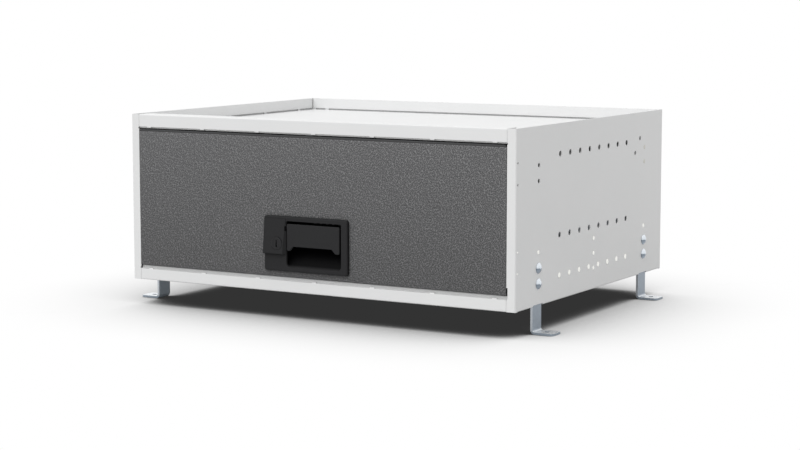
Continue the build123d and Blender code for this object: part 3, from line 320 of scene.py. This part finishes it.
def leatherGrain(tree, place):
    # The face is turned into the plane of a flat pebble pattern and leaned over, the pebbles are
    # drawn out, and a finer pattern goes over them.
    leaning = addNode(tree, "ShaderNodeMapping", {
        "Rotation": (math.pi / 2, 0, math.radians(fascia["grainSlope"]))}, {"Vector": place})
    drawnOut = addNode(tree, "ShaderNodeMapping", {
        "Scale": (fascia["grainMm"] / fascia["grainLengthMm"], 1, 1)}, {"Vector": leaning.outputs[0]})
    pebble = addNode(tree, "ShaderNodeTexVoronoi", {
        "voronoi_dimensions": "2D", "Scale": perMetre(fascia["grainMm"]),
        "Randomness": fascia["grainUneven"]}, {"Vector": drawnOut.outputs[0]})
    fine = addNode(tree, "ShaderNodeTexNoise", {
        "Scale": perMetre(fascia["fineMm"]), "Detail": fascia["fineDetail"]}, {"Vector": place})
    return addNode(tree, "ShaderNodeMath", {"operation": "MULTIPLY_ADD", 1: fascia["grainShare"]},
                   {0: pebble.outputs["Distance"], 2: fine.outputs[0]}).outputs[0]


def grainColour(tree, grain, where):
    # light on the raised grain, dark between, and all of it painted darker towards the foot and lighter
    # towards the crest, as shade and light fall
    darkest, lightest = fascia["toneSpan"]
    tone = addNode(tree, "ShaderNodeMapRange", {"From Min": darkest, "From Max": lightest}, {"Value": grain})
    colour = mixedColour(tree, tone.outputs[0], fascia["low"], fascia["high"])
    fall = addNode(tree, "ShaderNodeMapRange", {
        "From Min": fascia["footHigh"], "From Max": fascia["crestHigh"],
        "To Min": fascia["foot"], "To Max": fascia["crest"]}, {"Value": where.outputs["Z"]})
    return addNode(tree, "ShaderNodeVectorMath", {"operation": "SCALE"},
                   {0: colour, "Scale": fall.outputs[0]}).outputs[0]


def brokenLine(tree, grain, where, grainEnd):
    # painted highlight: where the grain starts, under the top edge and over the latch, its tips are painted
    # light as if they caught the light
    low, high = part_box("latch_housing")
    under, edgeReach = fascia["edgeLineMm"]
    over, latchReach = fascia["latchLineMm"]
    bands = (("Z", grainEnd - under * mm, edgeReach * mm),
             ("Z", high.z + over * mm, latchReach * mm),
             ("X", (low.x + high.x) / 2, (high.x - low.x) / 2 - fascia["latchLineInsetMm"] * mm))
    underEdge, overLatch, alongLatch = [
        addNode(tree, "ShaderNodeMath", {"operation": "COMPARE", 1: middle, 2: reach},
                {0: where.outputs[axis]}).outputs[0] for axis, middle, reach in bands]
    latchLine = addNode(tree, "ShaderNodeMath", {"operation": "MULTIPLY"}, {0: overLatch, 1: alongLatch})
    lines = addNode(tree, "ShaderNodeMath", {"operation": "MAXIMUM"}, {0: underEdge, 1: latchLine.outputs[0]})
    starts, ends = fascia["lineSpan"]
    tips = addNode(tree, "ShaderNodeMapRange", {
        "From Min": starts, "From Max": ends, "To Max": fascia["lineShare"]}, {"Value": grain})
    return addNode(tree, "ShaderNodeMath", {"operation": "MULTIPLY"},
                   {0: lines.outputs[0], 1: tips.outputs[0]}).outputs[0]


def grainedPolypropylene():
    # Moulded polypropylene with a leather grain: mottled greys, a dull, broken sheen, painted shade in its
    # creases and a painted highlight line where the grain starts.
    material, tree, place, edge, shader = finishNodes("grainedPolypropylene", fascia)
    where = addNode(tree, "ShaderNodeSeparateXYZ", {}, {"Vector": place})
    grain = leatherGrain(tree, place)
    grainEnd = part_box("drawer_front")[1].z - fascia["smoothMm"] * mm
    smooth = addNode(tree, "ShaderNodeMapRange", {
        "From Min": grainEnd - fascia["fadeMm"] * mm, "From Max": grainEnd}, {"Value": where.outputs["Z"]})
    body = addNode(tree, "ShaderNodeMix", {"data_type": "RGBA", 7: linearColour(fascia["smooth"])},
                   {0: smooth.outputs[0], 6: grainColour(tree, grain, where)})
    # painted highlight line over the grain
    colour = addNode(tree, "ShaderNodeMix", {"data_type": "RGBA", 7: linearColour(fascia["line"])},
                     {0: brokenLine(tree, grain, where, grainEnd), 6: body.outputs[2]})
    # painted shade darkens the creases and gaps
    tree.links.new(darkSeams(tree, colour.outputs[2], fascia), shader.inputs["Base Color"])
    keep = addNode(tree, "ShaderNodeMath", {"operation": "SUBTRACT", 0: 1.0}, {1: smooth.outputs[0]})
    height = addNode(tree, "ShaderNodeMath", {"operation": "MULTIPLY"}, {0: grain, 1: keep.outputs[0]})
    raised(tree, shader, height.outputs[0], fascia, edge)
    return material


tub = {
    "edgeMm": 0.5, "roughness": 0.5, "roughSpan": (0.42, 0.6), "ior": 1.49,
    "low": "#4A4B4D", "high": "#565759",
    "patternMm": 1.2, "detail": 3.0,
    "depthMm": 0.05, "relief": 0.5,
}


def mouldedTubPlastic():
    # Injection-moulded grey polypropylene: matt, with a light texture and a slightly waxy sheen.
    return patternedFinish("mouldedTubPlastic", tub)


# finishes of the latch and the lock

latch = {
    "edgeMm": 0.4, "roughness": 0.55, "roughSpan": (0.42, 0.6), "ior": 1.45, "specular": 0.06,
    "low": "#2C2C2D", "high": "#343435",
    "paddleLow": "#2E2E2F", "paddleHigh": "#363637",    # the paddle is moulded a shade lighter
    "sparkMm": 0.9, "sparkDetail": 3.0,    # drawn coarser than the real pits, to show
    "depthMm": 0.04, "relief": 0.5,
    "deep": "#040405", "deepFromMm": 1.3, "deepToMm": 4.3,    # painted shade: the pocket goes dark behind the face, where little light gets in
    # painted shade: the crevices and gaps go near black within this reach
    "seamMm": 3.0, "seam": ((0.0, 0.08), (0.35, 0.25), (0.72, 1.0)),
}


def glassFilledNylon(name, low, high):
    # Moulded black nylon: nearly black, with fine spark erosion that greys the lit edges, and painted shade
    # deep in the pocket and in the crevices.
    material, tree, place, edge, shader = finishNodes(name, latch)
    spark = addNode(tree, "ShaderNodeTexNoise", {
        "Scale": perMetre(latch["sparkMm"]), "Detail": latch["sparkDetail"]}, {"Vector": place})
    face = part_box("latch_housing")[0].y
    where = addNode(tree, "ShaderNodeSeparateXYZ", {}, {"Vector": place})
    # painted shade: the colour goes near black inside the pocket, behind its face
    inside = addNode(tree, "ShaderNodeMapRange", {
        "From Min": face + latch["deepFromMm"] * mm, "From Max": face + latch["deepToMm"] * mm},
        {"Value": where.outputs["Y"]})
    colour = addNode(tree, "ShaderNodeMix", {"data_type": "RGBA", 7: linearColour(latch["deep"])},
                     {0: inside.outputs[0], 6: mixedColour(tree, spark.outputs[0], low, high)})
    # painted shade in the crevices
    tree.links.new(darkSeams(tree, colour.outputs[2], latch), shader.inputs["Base Color"])
    spreadRoughness(tree, shader, spark.outputs[0], latch)
    raised(tree, shader, spark.outputs[0], latch, edge)
    return material


lockMetal = {
    "edgeMm": 0.3, "roughness": 0.35, "roughSpan": (0.28, 0.45), "metallic": 1.0,
    "low": "#2A2A2B", "high": "#3A3A3B",
    "patternMm": 0.7, "detail": 3.0,    # casting pits, drawn coarser than they are
    "depthMm": 0.02, "relief": 0.3,
}


def blackPlatedZinc():
    # Die-cast zinc with black plating: dark metal whose rims catch a grey line of light.
    return patternedFinish("blackPlatedZinc", lockMetal)


springSteel = {
    "edgeMm": 0.15, "roughness": 0.25, "roughSpan": (0.18, 0.36), "metallic": 1.0,
    "low": "#8E9195", "high": "#B9BCC0",
    "patternMm": 0.4, "detail": 2.0,    # die lines, drawn coarser than they are
    "depthMm": 0.008, "relief": 0.2,
}


def drawnSpringSteel():
    # Drawn spring wire: grey steel with fine die lines and an oily shine.
    return patternedFinish("drawnSpringSteel", springSteel)


# finishes of the feet, bolts and plugs

zinc = {
    "edgeMm": 0.4, "roughness": 0.35, "roughSpan": (0.28, 0.46),
    "metallic": 0.6,        # the chalky passivation scatters part of the light
    "low": "#8A949F", "high": "#A5AFB9",
    "cloudMm": 7.0, "cloudDetail": 4.0,
    "lit": "#F4F7FA",       # painted reflection: the faces that lie flat are painted as bright as if they threw the light straight back
    "flatShare": 1.0, "flatSpan": (0.3, 0.95),    # each span is where a turning face starts and ends
    "cutShare": 0.45, "cutSpan": (-0.3, -0.9), "cutAboveMm": 4.0,
    # painted light on the faces turned in under the case
    "inward": "#D6E1EC", "inwardShare": 0.9, "inwardSpan": (-0.4, -0.9),
    "scratchMm": 0.5, "scratchDetail": 2.0,    # drawn coarser than the real scratches, to show
    "depthMm": 0.01, "relief": 0.3,
}


def zincPlatedSteel():
    # Bright zinc plate with blue passivation: cloudy bluish grey, glints at the bends, and painted light on
    # the flat, front and inward faces.
    material, tree, place, edge, shader = finishNodes("zincPlatedSteel", zinc)
    cloud = addNode(tree, "ShaderNodeTexNoise", {
        "Scale": perMetre(zinc["cloudMm"]), "Detail": zinc["cloudDetail"]}, {"Vector": place})
    facing = addNode(tree, "ShaderNodeSeparateXYZ", {},
                     {"Vector": addNode(tree, "ShaderNodeTexCoord").outputs["Normal"]})
    where = addNode(tree, "ShaderNodeSeparateXYZ", {}, {"Vector": place})
    side = addNode(tree, "ShaderNodeMath", {"operation": "SIGN"}, {0: where.outputs["X"]})
    outward = addNode(tree, "ShaderNodeMath", {"operation": "MULTIPLY"},
                      {0: side.outputs[0], 1: facing.outputs["X"]})
    turning = (("flat", facing.outputs["Z"]), ("cut", facing.outputs["Y"]), ("inward", outward.outputs[0]))
    flat, ahead, inward = [
        addNode(tree, "ShaderNodeMapRange", {
            "From Min": zinc[way + "Span"][0], "From Max": zinc[way + "Span"][1],
            "To Max": zinc[way + "Share"]}, {"Value": direction}).outputs[0] for way, direction in turning]
    # painted light: the faces turned in under the case are painted brighter
    sided = addNode(tree, "ShaderNodeMix", {"data_type": "RGBA", 7: linearColour(zinc["inward"])},
                    {0: inward, 6: mixedColour(tree, cloud.outputs[0], zinc["low"], zinc["high"])})
    # painted light: the cut edges across the front of the legs, above the sole, are painted bright too
    above = addNode(tree, "ShaderNodeMath", {"operation": "GREATER_THAN", 1: zinc["cutAboveMm"] * mm},
                    {0: where.outputs["Z"]})
    cut = addNode(tree, "ShaderNodeMath", {"operation": "MULTIPLY"}, {0: ahead, 1: above.outputs[0]})
    # painted reflection and light: the flat faces and the front edges are mixed towards the bright colour
    lit = addNode(tree, "ShaderNodeMath", {"operation": "MAXIMUM"}, {0: flat, 1: cut.outputs[0]})
    colour = addNode(tree, "ShaderNodeMix", {"data_type": "RGBA", 7: linearColour(zinc["lit"])},
                     {0: lit.outputs[0], 6: sided.outputs[2]})
    tree.links.new(colour.outputs[2], shader.inputs["Base Color"])
    spreadRoughness(tree, shader, cloud.outputs[0], zinc)
    scratch = addNode(tree, "ShaderNodeTexNoise", {
        "Scale": perMetre(zinc["scratchMm"]), "Detail": zinc["scratchDetail"]}, {"Vector": place})
    raised(tree, shader, scratch.outputs[0], zinc, edge)
    return material


boltHead = {
    "edgeMm": 0.25, "roughness": 0.22, "roughSpan": (0.14, 0.3), "metallic": 1.0,
    # painted reflection: colours from faces that look straight down to faces that look straight up, mirroring
    # the pale room above and the dark floor line below
    "bands": ((0.0, "#B9C2CB"), (0.30, "#98A2AD"), (0.47, "#7A848F"), (0.54, "#D9E0E7"), (1.0, "#EEF3F7")),
    "cloudMm": 2.5, "cloudDetail": 3.0,
    "depthMm": 0.01, "relief": 0.2,
}


def polishedZincBolt():
    # Domed bolt heads in polished zinc plate: a painted reflection gives a bright crown over a slate-blue
    # underside.
    material, tree, place, edge, shader = finishNodes("polishedZincBolt", boltHead)
    facing = addNode(tree, "ShaderNodeSeparateXYZ", {},
                     {"Vector": addNode(tree, "ShaderNodeTexCoord").outputs["Normal"]})
    # painted reflection: the colour follows which way each face looks
    level = addNode(tree, "ShaderNodeMapRange", {"From Min": -1.0, "From Max": 1.0},
                    {"Value": facing.outputs["Z"]})
    bands = addNode(tree, "ShaderNodeValToRGB", {}, {"Fac": level.outputs[0]})
    setStops(bands, boltHead["bands"])
    tree.links.new(bands.outputs["Color"], shader.inputs["Base Color"])
    cloud = addNode(tree, "ShaderNodeTexNoise", {
        "Scale": perMetre(boltHead["cloudMm"]), "Detail": boltHead["cloudDetail"]}, {"Vector": place})
    spreadRoughness(tree, shader, cloud.outputs[0], boltHead)
    raised(tree, shader, cloud.outputs[0], boltHead, edge)
    return material


nickel = {
    "edgeMm": 0.15, "roughness": 0.16, "roughSpan": (0.10, 0.22), "metallic": 1.0,
    "low": "#E6E7E2", "high": "#F2F2ED",
    "patternMm": 4.0, "detail": 2.0,
    "depthMm": 0.006, "relief": 0.2,
}


def brightNickelPlate():
    # Bright nickel plate on the blanking plugs: smooth, faintly warm, and nearly as light as the paper.
    return patternedFinish("brightNickelPlate", nickel)


# finishes of the slides

rolled = {
    "edgeMm": 0.3, "roughness": 0.3, "roughSpan": (0.2, 0.42), "metallic": 1.0,
    "low": "#B6BBC0", "high": "#D6D9DC",
    "patternMm": 0.6, "lengthMm": 40.0, "detail": 3.0,    # roller lines, wider than the real ones
    "depthMm": 0.01, "relief": 0.25,
}


def rolledGalvanisedSteel():
    # Roll-formed galvanised strip: silver with long fine lines left by the rollers.
    return patternedFinish("rolledGalvanisedSteel", rolled)


rubber = {
    "edgeMm": 0.5, "roughness": 0.8, "ior": 1.52,
    "low": "#141414", "high": "#1F1F1F",
    "patternMm": 3.0, "detail": 4.0,
    "depthMm": 0.05, "relief": 0.3,
}


def mouldedRubber():
    # Moulded black rubber: dull, with a faint pale bloom.
    return patternedFinish("mouldedRubber", rubber)


acetal = {
    "edgeMm": 0.4, "roughness": 0.35, "roughSpan": (0.3, 0.42), "ior": 1.48,
    "low": "#DAD8D0", "high": "#E6E4DD",
    "patternMm": 5.0, "detail": 2.0,
    "depthMm": 0.02, "relief": 0.2,
}


def naturalAcetal():
    # Natural acetal: milky white and slippery, with soft flow marks.
    return patternedFinish("naturalAcetal", acetal)


# dressing the CAD nodes

finishes = {
    "white_painted_steel": powderCoatedSteel(),
    "grained_plastic": grainedPolypropylene(),
    "latch_plastic": glassFilledNylon("glassFilledNylon", latch["low"], latch["high"]),
    "zinc_plated_steel": zincPlatedSteel(),
    "slide_steel": rolledGalvanisedSteel(),
    "tub_plastic": mouldedTubPlastic(),
    "black_rubber": mouldedRubber(),
    "nylon": naturalAcetal(),
    "lock_metal": blackPlatedZinc(),
    "bright_steel": drawnSpringSteel(),
}


def dress(node, finish):
    slots = nodes[node].data.materials
    slots.clear()
    slots.append(finish)


for part in frame["record"]["subparts"]:
    dress(part["node"], finishes[part["material_slot"]])
dress("foot_bolts", polishedZincBolt())
dress("paddle", glassFilledNylon("glassFilledNylonPaddle", latch["paddleLow"], latch["paddleHigh"]))
print("nodes dressed in", len(finishes), "finishes")


# pieces finer than the CAD solids

def meshOf(work, name):
    mesh = bpy.data.meshes.new(name)
    work.to_mesh(mesh)
    work.free()
    return mesh


def addPiece(name, mesh, body, slotName, finish=None):
    piece = bpy.data.objects.new(name, mesh)
    bpy.context.scene.collection.objects.link(piece)
    mesh.materials.append(finish or finishes[slotName])
    mesh.shade_smooth()
    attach(piece, body)
    return piece


spring = {
    "wireMm": 1.1,
    "turns": 13,
    "stepsPerTurn": 24,
    "sides": 8,
}


def wireMesh(name, path, radius, sides):
    # a round wire along a path, closed at both ends
    work = bmesh.new()
    rings = []
    side = Vector((1, 0, 0))
    for i, point in enumerate(path):
        ahead = (path[min(i + 1, len(path) - 1)] - path[max(i - 1, 0)]).normalized()
        side = (side - ahead * side.dot(ahead)).normalized()
        up = ahead.cross(side)
        turns = [2 * math.pi * k / sides for k in range(sides)]
        rings.append([work.verts.new(point + radius * (math.cos(turn) * side + math.sin(turn) * up))
                      for turn in turns])
    for one, two in zip(rings, rings[1:]):
        for k in range(sides):
            n = (k + 1) % sides
            work.faces.new((one[k], one[n], two[n], two[k]))
    work.faces.new(rings[0][::-1])
    work.faces.new(rings[-1])
    bmesh.ops.recalc_face_normals(work, faces=work.faces)
    return meshOf(work, name)


def makeSpring():
    # the torsion spring as a real coil, with one leg towards the back
    low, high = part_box("paddle_spring")
    wire = spring["wireMm"] * mm / 2
    coilRadius = (high.z - low.z) / 2 - wire
    centreY = low.y + coilRadius + wire
    centreZ = (low.z + high.z) / 2
    steps = spring["turns"] * spring["stepsPerTurn"]
    path = []
    for i in range(steps + 1):
        angle = 2 * math.pi * i / spring["stepsPerTurn"]
        x = low.x + wire + (high.x - low.x - 2 * wire) * i / steps
        y = centreY + coilRadius * math.sin(angle)
        path.append(Vector((x, y, centreZ + coilRadius * math.cos(angle))))
    path.append(Vector((path[-1].x, high.y - wire, path[-1].z)))
    mesh = wireMesh("paddleSpringCoil", path, wire, spring["sides"])
    piece = addPiece("paddleSpringCoil", mesh, "drawer", "bright_steel")
    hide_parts("paddle_spring")


makeSpring()
print("spring made")


plug = {
    "roomMm": 0.04,         # between the plug and the edge of its hole
    "crownMm": 0.5,         # how far the face bulges out
    "depthMm": 1.2,         # how far it reaches into the sheet
    "rings": 5,
    "sides": 28,
    "row": {"count": 8, "pitchMm": 30.0, "heightMm": 31.7, "radiusMm": 3.8},
    "column": {"heightsMm": (28.5, 48.5, 68.5), "radiusMm": 3.0},
    "outer": {"offsetMm": 166.52, "heightMm": 68.5, "radiusMm": 3.0},
    "small": {"insetMm": 4.8, "heightsMm": (47.8, 74.6), "radiusMm": 1.5},
    "nylon": {"offsetMm": 166.52, "heightsMm": (158.7, 178.7), "radiusMm": 3.0},
}


def plugPlaces():
    # (y, height above the case's underside, hole radius) of every plugged hole, in millimetres
    row, column, outer, small = plug["row"], plug["column"], plug["outer"], plug["small"]
    middle = (row["count"] - 1) / 2
    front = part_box("side_panel_right")[0].y / mm
    places = [((i - middle) * row["pitchMm"], row["heightMm"], row["radiusMm"]) for i in range(row["count"])]
    places += [(0, height, column["radiusMm"]) for height in column["heightsMm"]]
    places += [(side * outer["offsetMm"], outer["heightMm"], outer["radiusMm"]) for side in (-1, 1)]
    places += [(front + small["insetMm"], height, small["radiusMm"]) for height in small["heightsMm"]]
    return places


def nylonPlugPlaces():
    # the upper pair at the back is plugged too, in plain nylon
    spare = plug["nylon"]
    return [(spare["offsetMm"], height, spare["radiusMm"]) for height in spare["heightsMm"]]


def plugProfile(radius):
    # (distance from the axis, distance out of the sheet) from the crown to the back, in millimetres
    reach = radius - plug["roomMm"]
    quarter = [math.pi / 2 * i / plug["rings"] for i in range(1, plug["rings"] + 1)]
    crown = [(reach * math.sin(angle), plug["crownMm"] * math.cos(angle)) for angle in quarter]
    return crown + [(reach, -plug["depthMm"])]


def makePlugs(name, panel, outward, places, slotName, finish=None):
    # low-domed blanking plugs, flush in the holes of one case side
    low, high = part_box(panel)
    face = high.x if outward > 0 else low.x
    turns = [2 * math.pi * k / plug["sides"] for k in range(plug["sides"])]
    work = bmesh.new()
    for y, height, radius in places:
        centre = Vector((face, y * mm, low.z + height * mm))
        tip = work.verts.new(centre + Vector((outward * plug["crownMm"] * mm, 0, 0)))
        rings = []
        for wide, out in plugProfile(radius):
            points = [Vector((outward * out, wide * math.cos(turn), wide * math.sin(turn))) for turn in turns]
            rings.append([work.verts.new(centre + mm * point) for point in points])
        for k in range(plug["sides"]):
            n = (k + 1) % plug["sides"]
            work.faces.new((tip, rings[0][k], rings[0][n]))
            for one, two in zip(rings, rings[1:]):
                work.faces.new((one[k], two[k], two[n], one[n]))
        work.faces.new(rings[-1])
    bmesh.ops.recalc_face_normals(work, faces=work.faces)
    addPiece(name, meshOf(work, name), "case", slotName, finish)


brightNickel = brightNickelPlate()
for sideName, panelName, way in (("Right", "side_panel_right", 1), ("Left", "side_panel_left", -1)):
    makePlugs("holePlugs" + sideName, panelName, way, plugPlaces(), "zinc_plated_steel", brightNickel)
    makePlugs("nylonPlugs" + sideName, panelName, way, nylonPlugPlaces(), "nylon")
print("plugs made")


keyway = {
    "wardsMm": ((-0.62, 2.3, 1.5, 2.6), (0.62, -1.0, 1.5, 3.0)),    # x and z from the axis, width, height
    "sinkMm": 0.25,         # how far behind the plug's face
    "thickMm": 1.0,
    "roundMm": 0.25,
}


def makeWards():
    # the two wards that step the key slot, just inside the face of the plug
    low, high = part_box("lock_plug")
    middle = Vector(((low.x + high.x) / 2, low.y, (low.z + high.z) / 2))
    work = bmesh.new()
    for x, z, wide, tall in keyway["wardsMm"]:
        place = middle + mm * Vector((x, keyway["sinkMm"] + keyway["thickMm"] / 2, z))
        size = mm * Vector((wide, keyway["thickMm"], tall))
        bmesh.ops.create_cube(work, size=1, matrix=Matrix.LocRotScale(place, None, size))
    bmesh.ops.bevel(work, geom=work.edges[:], offset=keyway["roundMm"] * mm, segments=2, affect="EDGES")
    addPiece("keyWards", meshOf(work, "keyWards"), "lock", "lock_metal")


makeWards()
print("key wards made")


recess = {
    "armMm": 1.9,           # half the length of an arm of the cross
    "wideMm": 0.9,
    "deepMm": 0.5,
    "proudMm": 0.02,        # painted shade: the dark cross just shows on the crown
    "roundMm": 0.12,
}


def screwTips(node):
    # the crown of every separate screw in a node whose heads face back
    work = bmesh.new()
    work.from_mesh(nodes[node].data)
    left = set(work.verts)
    tips = []
    while left:
        group, queue = [], [left.pop()]
        while queue:
            vert = queue.pop()
            group.append(vert.co.copy())
            for edge in vert.link_edges:
                other = edge.other_vert(vert)
                if other in left:
                    left.remove(other)
                    queue.append(other)
        low = Vector([min(co[i] for co in group) for i in range(3)])
        high = Vector([max(co[i] for co in group) for i in range(3)])
        tips.append(Vector(((low.x + high.x) / 2, high.y, (low.z + high.z) / 2)))
    work.free()
    return sorted(tips, key=lambda tip: tuple(round(value, 5) for value in tip))


def makeRecesses():
    # painted shade: dark crosses laid on the crowns of the screws between the tub and the drawer front,
    # standing for the shade in their cross recesses
    size = mm * Vector((2 * recess["armMm"], recess["deepMm"], recess["wideMm"]))
    sink = mm * Vector((0, recess["proudMm"] - recess["deepMm"] / 2, 0))
    work = bmesh.new()
    for tip in screwTips("tub_front_screws"):
        for turn in (0, math.pi / 2):
            turned = Matrix.Rotation(turn, 3, "Y").to_quaternion()
            bmesh.ops.create_cube(work, size=1, matrix=Matrix.LocRotScale(tip + sink, turned, size))
    bmesh.ops.bevel(work, geom=work.edges[:], offset=recess["roundMm"] * mm, segments=1, affect="EDGES")
    addPiece("tubScrewRecesses", meshOf(work, "tubScrewRecesses"), "drawer", "lock_metal")


makeRecesses()
print("screw recesses made")
